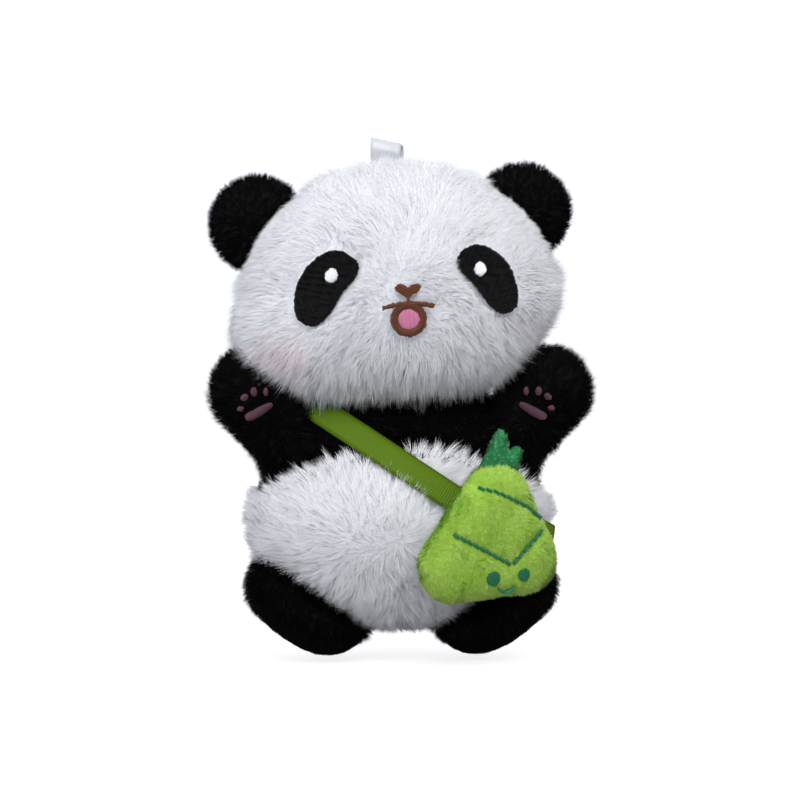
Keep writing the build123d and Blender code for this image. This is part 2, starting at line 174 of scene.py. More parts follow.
class Form:
    """A closed surface given as a grid of points, which can be meshed and sampled."""

    def __init__(self, points):
        self.nu, self.nv = points.shape[:2]
        self.co = points.reshape(-1, 3)
        self.faces = grid_faces(self.nu, self.nv)
        f = self.faces
        tri = np.concatenate([f[:, [0, 1, 2]], f[:, [0, 2, 3]]])
        a, b, c = (self.co[tri[:, k]] for k in range(3))
        cross = np.cross(b - a, c - a)
        self.area = np.linalg.norm(cross, axis=1) / 2
        n = np.zeros_like(self.co)
        for k in range(3):
            np.add.at(n, tri[:, k], cross)
        for pole in (0, self.nv - 1):
            rows = np.arange(self.nu) * self.nv + pole
            n[rows] = n[rows].sum(0)
        self.normal = unit(n)
        self.tri = tri

    def sample(self, per_mm2):
        """Random points of the surface and its normals there."""
        count = int(self.area.sum() * per_mm2)
        pick = rng.choice(len(self.tri), count, p=self.area / self.area.sum())
        u, v = rng.random((2, count))
        over = u + v > 1
        u[over], v[over] = 1 - u[over], 1 - v[over]
        w = np.stack([1 - u - v, u, v], 1)[:, :, None]
        p = (self.co[self.tri[pick]] * w).sum(1)
        n = unit((self.normal[self.tri[pick]] * w).sum(1))
        return p, n


def blob(centre, radii, power=None, turn=None, nu=112, nv=64, sole=None, low=1.0, bend=None):
    """Ellipsoid, or a squarer form where power(height / radius) gives more than 2.

    low squashes its lower half, bend(height) shifts it sideways and sole is the height of a flat foot."""
    lon = np.linspace(0, 2 * math.pi, nu, endpoint=False)
    lat = np.linspace(-math.pi / 2, math.pi / 2, nv)
    lo, la = np.meshgrid(lon, lat, indexing="ij")
    s = np.stack([np.cos(la) * np.cos(lo), np.cos(la) * np.sin(lo), np.sin(la)], -1)
    r = np.ones_like(s[..., :1])
    for _ in range(12 if power else 0):
        k = power(r * s[..., 2:])
        r = (np.abs(s) ** k).sum(-1, keepdims=True) ** (-1 / k)
    p = s * r * np.array(radii)
    p[..., 2] *= np.where(p[..., 2] < 0, low, 1.0)
    if bend is not None:
        p[..., 0] -= bend(p[..., 2])
    if turn is not None:
        p = p @ turn.T
    p = p + np.array(centre)
    if sole is not None:
        p[..., 2] = np.maximum(p[..., 2], sole)
    return Form(p)


def outward(form, centre):
    """Makes the form's normals point away from its middle."""
    v = ((form.co - centre) * form.normal).sum(1).mean()
    if v < 0:
        form.faces = form.faces[:, ::-1]
        form.tri = form.tri[:, ::-1]
        form.normal = -form.normal
    return form


def kd_tree(points):
    tree = KDTree(len(points))
    for i, c in enumerate(points):
        tree.insert(c, i)
    tree.balance()
    return tree


# ---- noise ----
WAVES = [(unit(rng.normal(size=3)) * f, rng.uniform(0, 6.28)) for f in (0.22, 0.35, 0.5, 0.8, 1.15, 0.6)]


def noise(p, scale=1.0, shift=0.0):
    """Smooth wandering value, mostly within -1 to 1."""
    return sum(np.sin(p @ (k * scale) + ph + shift * (i + 1)) for i, (k, ph) in enumerate(WAVES)) / 2.6


# ---- flat outlines and paths ----
def inside(poly, q):
    """True where the flat points q lie inside the outline."""
    poly = np.asarray(poly, float)
    a, b = poly, np.roll(poly, -1, 0)
    hit = np.zeros(len(q), bool)
    for (x1, y1), (x2, y2) in zip(a, b):
        cond = (y1 > q[:, 1]) != (y2 > q[:, 1])
        if y1 != y2:
            hit ^= cond & (q[:, 0] < (x2 - x1) * (q[:, 1] - y1) / (y2 - y1) + x1)
    return hit


def edge_distance(poly, q, closed=True):
    """Distance of the flat points q from a closed outline or an open path."""
    poly = np.asarray(poly, float)
    b = np.roll(poly, -1, 0) if closed else poly[1:]
    a = poly if closed else poly[:-1]
    best = np.full(len(q), 1e9)
    for p1, p2 in zip(a, b):
        d = p2 - p1
        t = np.clip(((q - p1) @ d) / max(d @ d, 1e-12), 0, 1)
        best = np.minimum(best, np.linalg.norm(q - (p1 + t[:, None] * d), axis=1))
    return best


def smooth_loop(points, per):
    """Closed Catmull-Rom curve through the points, in per steps from each to the next."""
    p = np.asarray(points, float)
    out = []
    for i in range(len(p)):
        p0, p1, p2, p3 = p[i - 1], p[i], p[(i + 1) % len(p)], p[(i + 2) % len(p)]
        for t in np.linspace(0, 1, per, endpoint=False):
            out.append(0.5 * (2 * p1 + (p2 - p0) * t + (2 * p0 - 5 * p1 + 4 * p2 - p3) * t ** 2
                              + (3 * p1 - p0 - 3 * p2 + p3) * t ** 3))
    return np.array(out)


def ellipse_loop(cx, cz, rx, rz, turn=0.0, n=40):
    a = np.linspace(0, 2 * math.pi, n, endpoint=False)
    x, z = rx * np.cos(a), rz * np.sin(a)
    t = math.radians(turn)
    return np.stack([cx + x * math.cos(t) - z * math.sin(t), cz + x * math.sin(t) + z * math.cos(t)], 1)


def arc_length(path):
    """Distance along the path at each of its points."""
    return np.concatenate([[0], np.cumsum(np.linalg.norm(np.diff(path, axis=0), axis=1))])


def along(path, s, t):
    """Points of a flat path where s, known at each of its points, takes the values t."""
    return np.stack([np.interp(t, s, path[:, 0]), np.interp(t, s, path[:, 1])], -1)


def slopes(height, q, e):
    """Height at the flat points q and its slope along both of their directions, by steps of e."""
    h = height(q)
    return h, (height(q + np.array([e, 0])) - h) / e, (height(q + np.array([0, e])) - h) / e


def even_loop(pts, n):
    """Closed outline resampled to n evenly spaced points."""
    q = np.concatenate([pts, pts[:1]])
    s = arc_length(q)
    return along(q, s, np.linspace(0, s[-1], n, endpoint=False))


# ---- fur ----
SEGMENTS = 2        # straight lengths in a hair
ROOT_DEPTH = 0.25   # how far a hair starts under the cloth
SOFT = 0.90         # share of the cloth's normal in a hair's shading
STRAY = 0.34        # spread of single hairs about the lie of the pile, in radians
LEAN_SPREAD = 7     # the same for their lean, in degrees
ROLL_SPREAD = 0.45  # and for the turn of each blade about its own length, in radians
TAPER = 0.45        # rate at which a blade narrows, up to its last length, which ends in a point


def blades(name, q, nn, width, mat):
    """Mesh of tapered blades; q holds the points along every hair and nn the cloth's normal at its root."""
    rows, norms = [], []
    roll = rng.normal(0, ROLL_SPREAD, len(nn))[:, None]
    for k in range(SEGMENTS):
        d = unit(q[k + 1] - q[k])
        w = unit(np.cross(d, nn))
        f = np.cross(w, d)
        f = f * np.sign((f * nn).sum(1, keepdims=True) + 1e-9)
        w = w * np.cos(roll) + f * np.sin(roll)
        half = width * (1.0 - TAPER * k / SEGMENTS) / 2
        rows += [q[k] - w * half, q[k] + w * half]
        shading = unit(SOFT * nn + (1 - SOFT) * f)
        norms += [shading, shading]
    rows.append(q[SEGMENTS])
    norms.append(shading)
    co = np.stack(rows, 1).reshape(-1, 3)
    no = np.stack(norms, 1).reshape(-1, 3)
    base = (np.arange(len(nn)) * (2 * SEGMENTS + 1))[:, None]
    tris = []
    for k in range(0, 2 * SEGMENTS - 2, 2):
        tris += [base + np.array([k, k + 1, k + 3]), base + np.array([k, k + 3, k + 2])]
    tris.append(base + np.array([2 * SEGMENTS - 2, 2 * SEGMENTS - 1, 2 * SEGMENTS]))
    return add_mesh(name, co, np.concatenate(tris), mat, no)


def fur(name, form, mats, shares, body, slot_name, density, length, comb, lean, width, clump, pull,
        keep=None, scale_len=None, swirl=0.35, mood=0.4, tone=None, lift=None):
    """Tapered hairs over a form, density per mm2, each width wide and leaning by lean degrees per segment.

    comb gives the lie of the pile and lift stands it up; swirl and mood are how far both wander. A lock
    holds about clump hairs, drawn together by pull. tone moves the shade, which picks from mats by shares."""
    p, n = form.sample(density)
    if keep is not None:
        k = keep(p, n)
        p, n = p[k], n[k]
    t = comb(p, n)
    t = unit(t - (t * n).sum(1, keepdims=True) * n)
    side = np.cross(n, t)
    angle = swirl * (noise(p, 1.0, 1.7) + 0.7 * noise(p, 3.1, 0.4)) + rng.normal(0, STRAY, len(p))
    t = t * np.cos(angle)[:, None] + side * np.sin(angle)[:, None]
    ln = length * (1 + 0.22 * rng.normal(size=len(p))).clip(0.45, 1.5) * (1 + 0.12 * noise(p, 2.0, 3.0))
    if scale_len is not None:
        ln = ln * scale_len(p, n, t)
    extra = mood * 12 * noise(p, 1.6, 2.2) + rng.normal(0, LEAN_SPREAD, len(p))
    if lift is not None:
        extra = extra - lift(p, n)
    pts = [p - ROOT_DEPTH * n]
    for k in range(SEGMENTS):
        a = np.radians(np.clip(lean[k] + extra, 2, 86))[:, None]
        pts.append(pts[-1] + (ln / SEGMENTS)[:, None] * (n * np.cos(a) + t * np.sin(a)))
    pts = np.stack(pts)
    m = max(1, len(p) // clump)
    centres = rng.choice(len(p), m, replace=False)
    tree = kd_tree(p[centres])
    own = np.array([tree.find(c)[1] for c in p])
    amount = pull * (0.6 + 0.8 * rng.random(m))[own]
    for k in range(1, SEGMENTS + 1):
        w = (amount * (k / SEGMENTS) ** 1.2)[:, None]
        target = pts[k][centres][own]
        pts[k] = pts[k] + w * (target - pts[k])
    shade = rng.random(m)[own] * 0.7 + rng.random(len(p)) * 0.3
    if tone is not None:
        shade = np.clip(shade + tone(p, n), 0, 0.9999)
    groups = np.searchsorted(np.cumsum(shares)[:-1] / np.sum(shares), shade)
    for g, mat in enumerate(mats):
        idx = np.where(groups == g)[0]
        if len(idx):
            place(blades(f"{name}_{'abc'[g]}", pts[:, idx], n[idx], width, mat), body)


def skin(name, form, mat, body, nodes=(), keep=None):
    """The cloth under the pile; keep picks its faces by their middles."""
    faces = form.faces
    if keep is not None:
        mid = form.co[faces].mean(1)
        faces = faces[keep(mid)]
    used, inv = np.unique(faces, return_inverse=True)
    place(add_mesh(name, form.co[used], inv.reshape(faces.shape), mat), body, nodes)


def black_cloth(part, form):
    skin(f"{part}_skin", form, BLACK_CLOTH, part, (f"{part}_front", f"{part}_back"))


def stuffing(part, form):
    """The fill of a part, as a form a little inside its cloth."""
    skin(f"{part}_fill", form, FIBRE, part, (f"{part}_stuffing",))


# ---- embroidery ----
SECTION = ((-0.5, 0.0), (-0.27, 0.8), (0.0, 1.0), (0.27, 0.8), (0.5, 0.0))   # across and up, half round
THREAD_DIP = 0.35   # how far a thread's edges and ends sink into the cloth


def thread_strips(name, lines, surf, colour, body, wide, high, nodes):
    """Half-round threads laid along flat polylines; surf lifts a flat point onto the form."""
    co, faces, base = [], [], 0
    across = len(SECTION)
    for line in lines:
        n = len(line)
        d = unit(np.gradient(line, axis=0))
        w = np.stack([-d[:, 1], d[:, 0]], 1)
        swell = np.sqrt(np.clip(1 - (2 * np.linspace(0, 1, n) - 1) ** 6, 0, 1))
        rows = []
        for off, h in SECTION:
            pt, nm = surf(line + w * (off * wide))
            rise = (h * high - THREAD_DIP * (1 - h)) * swell - (1 - swell) * THREAD_DIP
            rows.append(pt + nm * rise[:, None])
        co.append(np.stack(rows).transpose(1, 0, 2).reshape(-1, 3))
        i, j = np.meshgrid(np.arange(n - 1), np.arange(across - 1), indexing="ij")
        v = base + i * across + j
        faces.append(np.stack([v, v + 1, v + across + 1, v + across], -1).reshape(-1, 4))
        base += n * across
    co, faces = np.concatenate(co), np.concatenate(faces)
    a, b, c = co[faces[:4, 0]], co[faces[:4, 1]], co[faces[:4, 2]]
    outside = surf(lines[0][:1])[1][0]
    if (np.cross(b - a, c - a).sum(0) * outside).sum() < 0:
        faces = faces[:, ::-1]
    place(add_mesh(name, co, faces, THREAD[colour]), body, nodes)


def fill_lines(outline, angle, pitch, jitter, gap=None):
    """Parallel thread lines that fill a flat outline, with uneven ends and, if gap is given, breaks."""
    a = math.radians(angle)
    r = np.array([[math.cos(a), math.sin(a)], [-math.sin(a), math.cos(a)]])
    q = np.asarray(outline) @ r.T
    lines = []
    v = q[:, 1].min() + pitch / 2
    while v < q[:, 1].max():
        xs = []
        for p1, p2 in zip(q, np.roll(q, -1, 0)):
            if (p1[1] > v) != (p2[1] > v):
                xs.append(p1[0] + (v - p1[1]) * (p2[0] - p1[0]) / (p2[1] - p1[1]))
        xs.sort()
        for x0, x1 in zip(xs[::2], xs[1::2]):
            x0, x1 = x0 - rng.uniform(0, jitter), x1 + rng.uniform(0, jitter)
            if x1 - x0 < 0.25:
                continue
            cuts = [x0, x1]
            if gap:
                first = x0 + rng.uniform(0.3, 1.0) * gap
                cuts = [x0] + list(np.arange(first, x1 - 0.3 * gap, gap)) + [x1]
            for c0, c1 in zip(cuts, cuts[1:]):
                u = np.linspace(c0, c1, max(4, int((c1 - c0) / 0.7) + 2))
                lines.append(np.stack([u, np.full_like(u, v)], 1) @ r)
        v += pitch
    return lines


def across_lines(path, wide, pitch, jitter):
    """Satin stitches lying across a flat path."""
    s = arc_length(path)
    lines = []
    for t in np.arange(pitch / 2, s[-1], pitch):
        d = unit(along(path, s, t + 0.05) - along(path, s, t - 0.05))
        w = np.array([-d[1], d[0]]) + d * 0.25
        half = wide / 2 + rng.uniform(0, jitter)
        lines.append(along(path, s, t) + np.linspace(-half, half, 5)[:, None] * w)
    return lines


# ================= head =================
ROLL = 2.7           # the head's lean in degrees
HEAD_C = np.array([-0.2, 0.0, node_box("face_panel", "head_back_panel")[0][2] + 29.0])
HEAD_R = np.array([38.8, 25.4, 30.3])
HEAD_LOW = 0.925     # height of its lower half against its upper half
WHITE_SKIN = 3.85    # depth of the cloth under the tips of the white pile
BLACK_SKIN = 2.35    # and under the black
WHITE_SHARES = (0.34, 0.32, 0.34)
HEAD_T = rot_y(ROLL)


def head_power(w):
    """The crown is round and the jowls are squarer."""
    return 2.0 + 0.75 * smooth_step(-w / 0.35)


def jowl(z):
    """The lower half of the face hangs a little to its right."""
    return 3.6 * smooth_step((-z - 1.0) / 15.0)


def to_head(p):
    return (p - HEAD_C) @ HEAD_T


def from_head(q):
    return q @ HEAD_T.T + HEAD_C


def in_head(p, sink):
    """True for points deeper than sink under the tips of the head's pile."""
    q = to_head(p)
    q[:, 0] += jowl(q[:, 2])
    q = q / (HEAD_R - sink)
    q[:, 2] /= np.where(q[:, 2] < 0, HEAD_LOW, 1.0)
    return (np.abs(q) ** head_power(q[:, 2:])).sum(1) < 1


def head_surf(sink):
    """Lifts flat face coordinates (x, z) onto the front of the head, sink below the pile tips."""
    r = HEAD_R - sink

    def lift(q):
        x, z = q[:, 0] + jowl(q[:, 1]), q[:, 1]
        squash = np.where(z < 0, HEAD_LOW, 1.0)
        rr = np.stack([np.full(len(x), r[0]), np.full(len(x), r[1]), r[2] * squash], 1)
        k = head_power(z / rr[:, 2])
        rest = np.clip(1 - np.abs(x / rr[:, 0]) ** k - np.abs(z / rr[:, 2]) ** k, 1e-4, 1)
        u = np.stack([x / rr[:, 0], -rest ** (1 / k), z / rr[:, 2]], 1)
        g = np.sign(u) * np.abs(u) ** (k[:, None] - 1) / rr
        pt = u * rr
        pt[:, 0] = q[:, 0]
        return from_head(pt), unit(g) @ HEAD_T.T
    return lift


EYE_X = 18.7
EYE = smooth_loop([(3.8, 8.3), (6.9, 6.2), (7.2, 3.2), (3.2, -1.5), (0.0, -6.2), (-3.4, -8.5),
                   (-6.6, -6.8), (-7.2, -3.2), (-6.3, 1.2), (-3.8, 5.2), (0.2, 8.0)], 5)
EYES = {"left": np.stack([EYE_X + 0.2 - 0.95 * EYE[:, 0], 0.95 * EYE[:, 1] + 0.1], 1),
        "right": np.stack([-EYE_X + 0.4 + EYE[:, 0], EYE[:, 1] - 0.2], 1)}
NOSE = smooth_loop([(0.1, -1.05), (0.9, -0.4), (2.1, -0.15), (2.95, -0.85), (2.2, -2.0), (0.9, -2.7),
                    (0.1, -3.3), (-0.8, -2.7), (-2.0, -2.0), (-2.75, -0.9), (-2.0, -0.1), (-0.8, -0.35)], 5)
LIP_X = np.linspace(-5.9, 5.9, 27)
LIP = np.stack([LIP_X, -4.55 - 0.024 * LIP_X ** 2], 1)
MOUTH_C, MOUTH_R = (0.0, -8.1), (3.3, 3.25)
MOUTH_A = np.linspace(0, 2 * math.pi, 61)
JAW = np.stack([MOUTH_C[0] + MOUTH_R[0] * np.cos(MOUTH_A), MOUTH_C[1] + MOUTH_R[1] * np.sin(MOUTH_A)], 1)
TONGUE = ellipse_loop(*MOUTH_C, 2.5, 2.65)
MOUTH_HULL = smooth_loop([(0, -4.0), (3.5, -4.3), (6.1, -5.0), (5.9, -5.9), (4.5, -6.4), (4.1, -9.0),
                          (2.4, -11.6), (0, -12.2), (-2.4, -11.6), (-4.1, -9.0), (-4.5, -6.4),
                          (-5.9, -5.9), (-6.1, -5.0), (-3.5, -4.3)], 4)
FACE_MASKS = [EYES["left"], EYES["right"], NOSE, MOUTH_HULL]
MASK_GROW = (4.2, 4.2, 5.0, 5.0)   # the pile regains its length this far from each of them
MASK_C = [np.array([EYE_X, 0.0]), np.array([-EYE_X, 0.0]), np.array([0.0, -1.8]), np.array([0.0, -7.8])]


def head_comb(p, n):
    """Outwards over the face, away from the embroidery, downwards behind and forwards under the jaw."""
    q = to_head(p)
    out = q - np.array([0.0, -24.0, 2.0])
    out[:, 1] *= 0.5
    out[:, 0] += 5.0 * np.sign(q[:, 0]) * (q[:, 2] < -10) * np.exp(-np.abs(q[:, 0]) / 4.0)
    down = np.stack([0.15 * q[:, 0] / 39, np.full(len(q), 0.35), np.full(len(q), -1.0)], 1) * 20
    w = np.clip((q[:, 1] + 6) / 14, 0, 1)[:, None]
    t = out * (1 - w) + down * w
    fringe = np.clip((-q[:, 2] - 16) / 8, 0, 1)[:, None]
    t = t * (1 - fringe) + np.array([0.0, -9.0, -24.0]) * fringe
    front = q[:, 1] < 0
    for poly, c in zip(FACE_MASKS, MASK_C):
        d = edge_distance(poly, q[:, [0, 2]])
        k = (np.exp(-d / 2.0) * front)[:, None]
        away = q[:, [0, 2]] - c
        away = np.stack([away[:, 0], np.zeros(len(q)), away[:, 1]], 1)
        t = unit(t) * (1 - k) + unit(away) * k * 1.6
    return t @ HEAD_T.T


def head_lift(p, n):
    """Stands the pile up under the jaw, so that it hangs as a fringe, and lays it flat on the crown."""
    flat = smooth_step((n[:, 2] - 0.35) / 0.45) * (0.6 + 0.4 * smooth_step((to_head(p)[:, 1] + 2.0) / 8.0))
    return 34.0 * np.clip(-n[:, 2] - 0.45, 0, 0.5) / 0.5 - 30.0 * flat


def head_keep(p, n):
    """No hair grows out of the embroidery."""
    q = to_head(p)
    ok = np.ones(len(p), bool)
    front = q[:, 1] < 0
    for poly in FACE_MASKS:
        ok &= ~(inside(poly, q[:, [0, 2]]) & front)
    return ok


def head_len(p, n, t):
    """The pile is shorter round the embroidery and at the foot of the ears."""
    q = to_head(p)
    s = np.ones(len(p))
    front = q[:, 1] < 0
    for poly, grow in zip(FACE_MASKS, MASK_GROW):
        d = edge_distance(poly, q[:, [0, 2]])
        s = np.where(front, np.minimum(s, 0.30 + 0.70 * np.clip(d / grow, 0, 1) ** 0.8), s)
        tip = to_head(p + t * 2.6 * s[:, None])[:, [0, 2]]
        bad = inside(poly, tip) & front & (rng.random(len(p)) > 0.14)
        s = np.where(bad, s * 0.45, s)
    by_ear = np.hypot(np.abs(q[:, 0] + 0.5) - 31.0, q[:, 2] - 16.4)
    return s * (0.42 + 0.58 * smooth_step((by_ear - 8.0) / 9.0))


def cheek(p):
    """Picks the hairs of the blush, strongest on the right cheek."""
    q = to_head(p)
    d1 = np.hypot((q[:, 0] + 27.5) / 9.0, (q[:, 2] + 14.5) / 7.5)
    d2 = np.hypot((q[:, 0] - 30.5) / 7.5, (q[:, 2] + 12.0) / 6.0)
    glow = np.maximum(np.clip(1 - d1, 0, 1), 0.6 * np.clip(1 - d2, 0, 1))
    return rng.random(len(p)) < 0.75 * glow * (q[:, 1] < 0)


def head_form(depth):
    return blob(HEAD_C, HEAD_R - depth, head_power, HEAD_T, low=HEAD_LOW, bend=jowl)


head_skin = head_form(WHITE_SKIN)
stuffing("head", head_form(WHITE_SKIN + 1.2))
skin("head_skin", head_skin, WHITE_CLOTH, "head", ("face_panel", "head_back_panel"))
HEAD_PILE = {"body": "head", "slot_name": "white_plush", "density": 18.0, "length": 4.9, "comb": head_comb,
             "lean": (20, 52), "width": 0.105, "scale_len": head_len, "swirl": 0.5, "lift": head_lift}
fur("head_fur", head_skin, WHITE, WHITE_SHARES, clump=8, pull=0.30, mood=0.5,
    keep=lambda p, n: head_keep(p, n) & ~cheek(p), **HEAD_PILE)
fur("cheek_fur", head_skin, [BLUSH], (1,), clump=9, pull=0.36,
    keep=lambda p, n: head_keep(p, n) & cheek(p), **HEAD_PILE)

# eyes, glints, nose, mouth
for s, sg in SIDES:
    thread_strips(f"eye_{s}", fill_lines(EYES[s], 38 * sg, 0.34, 0.34, gap=3.2), head_surf(1.9), "black",
                  "head", 0.40, 0.34, (f"eye_patch_{s}",))
    glint = ellipse_loop(sg * (EYE_X - 1.7), 2.6, 1.42, 1.72, -12)
    thread_strips(f"glint_{s}", fill_lines(glint, 70 * sg, 0.30, 0.1), head_surf(1.55), "white",
                  "head", 0.36, 0.30, (f"eye_glint_{s}",))
thread_strips("nose_threads", fill_lines(NOSE, 12, 0.30, 0.34), head_surf(1.3), "brown",
              "head", 0.36, 0.38, ("nose",))
stem = np.stack([np.full(7, 0.05), np.linspace(-3.0, -4.6, 7)], 1)
lip_lines = across_lines(LIP, 0.80, 0.30, 0.28) + across_lines(JAW, 1.50, 0.30, 0.28)
lip_lines += [stem + np.array([dx, 0]) for dx in (-0.22, 0.0, 0.22)]
thread_strips("mouth_threads", lip_lines, head_surf(1.45), "brown", "head", 0.34, 0.42, ("mouth_outline",))
thread_strips("tongue_threads", fill_lines(TONGUE, 86, 0.30, 0.05), head_surf(1.8), "pink",
              "head", 0.36, 0.30, ("tongue",))


# ================= ears =================
def make_ear(s, sg):
    c = from_head(np.array([[sg * 31.2 - 0.8, 6.0, 15.5]]))[0]
    ear = blob(c, np.array([12.2, 5.2, 12.1]) - 1.65, None, None, 72, 40)
    black_cloth(f"ear_{s}", ear)

    def ear_comb(p, n):
        return (p - c) * np.array([1, 0.3, 1]) + np.array([0, 0, 1.5])
    fur(f"ear_{s}_fur", ear, BLACK, (0.7, 0.3), f"ear_{s}", "black_plush", density=22, length=1.9,
        comb=ear_comb, lean=(14, 46), width=0.12, clump=9, pull=0.15, mood=0.2,
        keep=lambda p, n: ~in_head(p, 5.0))


for s, sg in SIDES:
    make_ear(s, sg)

# ================= torso =================
TORSO_C = np.array([0.0, 0.0, 31.5])
TORSO_R = np.array([36.6, 23.0, 27.5])
ARCH_R, ARCH_TOP = 52.0, 49.9


def arch(x):
    """Height of the edge between the white belly and the black chest."""
    return ARCH_TOP - (ARCH_R - np.sqrt(np.maximum(ARCH_R ** 2 - x ** 2, 0)))


SHOULDER_PT = np.array([-16.8, 0.0, 56.4])
YOKE_C = np.array([0.0, 0.5, 48.0])
YOKE_R = np.array([35.0, 15.0, 18.0])


def strap_slope(theta):
    """Slope of the strap's plane, steeper over the front than over the back."""
    k = smooth_step((theta - math.radians(155)) / math.radians(60))
    return np.radians(33.4 * (1 - k) + 29.0 * k)


def strap_point(theta, t, grow=0.0):
    """Point on the strap, grow above its middle layer.

    theta runs from the bag over the front, the right shoulder and the back; t is across."""
    sl = strap_slope(theta)
    nrm = np.stack([np.sin(sl), np.zeros_like(sl), np.cos(sl)], -1)
    e1 = np.stack([np.cos(sl), np.zeros_like(sl), -np.sin(sl)], -1)
    r = np.cos(theta)[..., None] * e1 + np.sin(theta)[..., None] * np.array([0.0, -1.0, 0.0])
    d = (nrm * (SHOULDER_PT - TORSO_C)).sum(-1) + t
    c = nrm * d[..., None]
    reach = []
    for centre, radii in ((TORSO_C, TORSO_R - 0.5), (YOKE_C, YOKE_R - 1.0)):
        rad = radii + np.asarray(grow, float)[..., None]
        o = TORSO_C + c - centre
        qa = ((r / rad) ** 2).sum(-1)
        qb = (o * r / rad ** 2).sum(-1)
        qc = ((o / rad) ** 2).sum(-1) - 1
        root = np.sqrt(np.maximum(qb * qb - qa * qc, 0))
        reach.append(np.where(qb * qb > qa * qc, (root - qb) / qa, 0))
    lam = np.log(np.exp(reach[0] / 0.8) + np.exp(reach[1] / 0.8)) * 0.8
    return TORSO_C + c + lam[..., None] * r


THETA0, THETA1 = math.radians(60), math.radians(408)
TH = np.linspace(THETA0, THETA1, 260)
STRAP_MID = strap_point(TH, np.zeros_like(TH))
STRAP_TREE = kd_tree(STRAP_MID)


def strap_distance(p):
    """Distance from the strap's middle line."""
    return np.array([STRAP_TREE.find(c)[2] for c in p])


# ---- bag frame ----
TURN = math.radians(14)   # the bag faces this far outwards
BAG_OUT = np.array([math.sin(TURN), -math.cos(TURN), 0.0])
BAG_X = np.array([math.cos(TURN), math.sin(TURN), 0.0])
BAG_UP = np.array([0.0, 0.0, 1.0])
BAG_LO, BAG_HI = node_box("bag_front", "bag_back")
BAG_H = 6.5   # half thickness
BAG_C = np.array([15.8, -22.4, (BAG_LO[2] + BAG_HI[2]) / 2 - 1.0]) + BAG_OUT * BAG_H
CIRCLES = [(2.0, 9.0, 8.6), (-8.1, -6.4, 9.1), (8.7, -5.0, 8.7)]   # its rounded corners: x, up, radius
OUTLINE_POINTS = 150


def bag_outline(grow):
    """Outline of the hull of the grown corner circles, by the farthest reach in each direction."""
    circles = [(x, y, r + grow) for x, y, r in CIRCLES]
    a = np.linspace(0, 2 * math.pi, OUTLINE_POINTS, endpoint=False)
    d = np.stack([np.cos(a), np.sin(a)], 1)
    reach = np.stack([d @ np.array([x, y]) + r for x, y, r in circles])
    hull = np.array([np.array(circles[i][:2]) + circles[i][2] * v for i, v in zip(reach.argmax(0), d)])
    return even_loop(hull, OUTLINE_POINTS)


BAG_LINE = bag_outline(0.0)
BAG_MID = np.array([0.9, -0.8])


def bag_height(q, grow):
    """Height of the pillow over its flat middle, falling from the middle to an outline grown by grow."""
    line = bag_outline(grow) - BAG_MID
    a = np.arctan2(line[:, 1], line[:, 0])
    order = np.argsort(a)
    v = q - BAG_MID
    radii = np.linalg.norm(line, axis=1)[order]
    reach = np.interp(np.arctan2(v[:, 1], v[:, 0]), a[order], radii, period=2 * math.pi)
    rho = np.clip(np.linalg.norm(v, axis=1) / reach, 0, 1)
    return (BAG_H + grow) * (1 - rho ** 3) ** 0.45


def from_bag(q):
    """Body frame of points given as across, up and out from the bag's middle."""
    return BAG_C + q[..., :1] * BAG_X + q[..., 1:2] * BAG_UP + q[..., 2:3] * BAG_OUT


def to_bag(p):
    v = p - BAG_C
    return np.stack([v @ BAG_X, v @ BAG_UP, v @ BAG_OUT], -1)


def leg_height(p):
    """Height of p, seen from the front, above the line where the belly meets the leg."""
    x, z = np.abs(p[:, 0]), p[:, 2]
    sag = 1.4 * np.clip(1 - ((x - 20.1) / 14.3) ** 2, 0, 1)
    return (34.4 - x) * 0.5816 + (z - 26.75) * 0.8134 + sag


def leg_outline(p, grow):
    """True where p, seen from the front, lies over the bare part of a leg."""
    hit = np.zeros(len(p), bool)
    for sg in (1, -1):
        q = (p - np.array([sg * 21.5, 0.0, 13.0])) @ rot_y(sg * 30)
        hit |= (q[:, 0] / (16.2 + grow)) ** 2 + (q[:, 2] / (12.2 + grow)) ** 2 < 1
    return hit & (p[:, 1] < 4) & (leg_height(p) < grow * 0.5)


def torso_keep(p, n):
    """No hair under the head, under the strap or behind the middle of the bag."""
    d = strap_distance(p + n * 3.2)
    b = to_bag(p)
    behind = inside(BAG_LINE * 0.45, b[:, :2]) & (p[:, 1] < 0)
    return ~in_head(p, 4.5) & (d > 2.2) & ~behind


def torso_len(p, n, t):
    """The pile is shorter beside the strap, behind the bag and under the seat."""
    d = strap_distance(p + n * 3.2)
    s = 0.42 + 0.58 * np.clip((d - 2.2) / 3.0, 0, 1)
    b = to_bag(p)
    near = inside(BAG_LINE, b[:, :2]) & (p[:, 1] < 0)
    s = np.where(near, s * 0.85, s)
    return s * (1 - 0.6 * np.clip((14 - p[:, 2]) / 8, 0, 1))


def chest_len(p, n, t):
    """The black pile starts short, so that the white tips lie over it."""
    rise = p[:, 2] - arch(p[:, 0]) + 1.8
    return torso_len(p, n, t) * (0.3 + 0.7 * smooth_step((rise - 1.0) / 5.0))


def belly_comb(p, n):
    """Outwards from the middle of the belly, parted low down."""
    side = 6.0 * np.sign(p[:, 0] + 1) * np.exp(-np.abs(p[:, 0] + 1) / 4) * (p[:, 2] < 20)
    return np.stack([0.8 * (p[:, 0] + 1.4) + side, np.zeros(len(p)), p[:, 2] - 28.0], 1)


def chest_comb(p, n):
    return np.stack([0.9 * p[:, 0] / 36, np.zeros(len(p)), np.full(len(p), -0.9)], 1)


